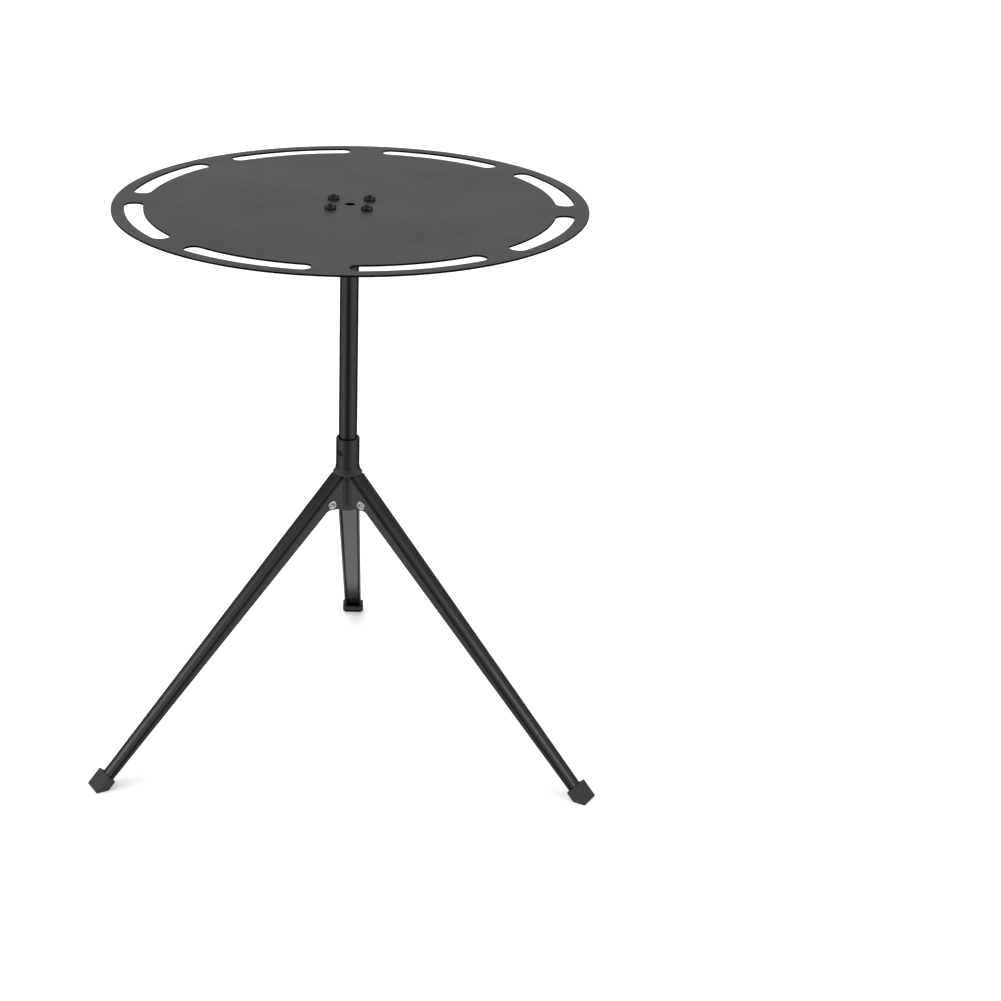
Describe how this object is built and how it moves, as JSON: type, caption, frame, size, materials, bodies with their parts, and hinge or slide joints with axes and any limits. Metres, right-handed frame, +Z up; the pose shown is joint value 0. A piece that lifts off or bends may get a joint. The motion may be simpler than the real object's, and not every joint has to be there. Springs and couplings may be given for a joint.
{
  "type": "camping table",
  "caption": "Round sheet-metal camping table with slots round its rim, on a short screw-in pole and a hub with folding channel legs and block feet.",
  "frame": {"origin": "on the pole's axis at the floor, with the table standing on its three feet", "axes": "+Z up along the pole, +Y from the pole's axis towards the first leg's foot"},
  "size_m": [0.4702, 0.4756, 0.5256],
  "materials": {
    "top_coat": "dark grey satin coat with a fine grain",
    "flange_coat": "black satin coat",
    "screw_black": "black oxide",
    "pole_coat": "black semi-gloss coat",
    "plug_coat": "black semi-gloss coat",
    "hub_coat": "black satin coat on a cast body",
    "leg_coat": "black semi-gloss coat on pressed sheet",
    "rivet_steel": "bright plated",
    "foot_rubber": "matte dark grey"
  },
  "bodies": {
    "stand": {"hub": "hub_coat", "hub_set_screw": "screw_black", "leg_rivet_1": "rivet_steel", "leg_rivet_2": "rivet_steel", "leg_rivet_3": "rivet_steel"},
    "pole": {"pole_tube": "pole_coat", "pole_upper_plug": "plug_coat", "pole_lower_plug": "plug_coat"},
    "top": {"tabletop_plate": "top_coat", "top_flange": "flange_coat", "flange_screw_1": "screw_black", "flange_screw_2": "screw_black", "flange_screw_3": "screw_black", "flange_screw_4": "screw_black"},
    "leg_1_body": {"leg_1": "leg_coat", "foot_1": "foot_rubber"},
    "leg_2_body": {"leg_2": "leg_coat", "foot_2": "foot_rubber"},
    "leg_3_body": {"leg_3": "leg_coat", "foot_3": "foot_rubber"}
  },
  "joints": [
    {"name": "leg_1_fold", "type": "hinge", "parent": "stand", "child": "leg_1_body", "pos_m": [0, 0.0213, 0.2416], "axis": [-1, 0, 0], "range_deg": [0, 45]},
    {"name": "leg_2_fold", "type": "hinge", "parent": "stand", "child": "leg_2_body", "pos_m": [-0.01845, -0.01065, 0.2416], "axis": [0.5, -0.866, 0], "range_deg": [0, 45]},
    {"name": "leg_3_fold", "type": "hinge", "parent": "stand", "child": "leg_3_body", "pos_m": [0.01845, -0.01065, 0.2416], "axis": [0.5, 0.866, 0], "range_deg": [0, 45]},
    {"name": "pole_turn", "type": "hinge", "parent": "stand", "child": "pole", "pos_m": [0, 0, 0.29], "axis": [0, 0, 1], "continuous": true},
    {"name": "top_turn", "type": "hinge", "parent": "pole", "child": "top", "pos_m": [0, 0, 0.51], "axis": [0, 0, 1], "continuous": true}
  ]
}
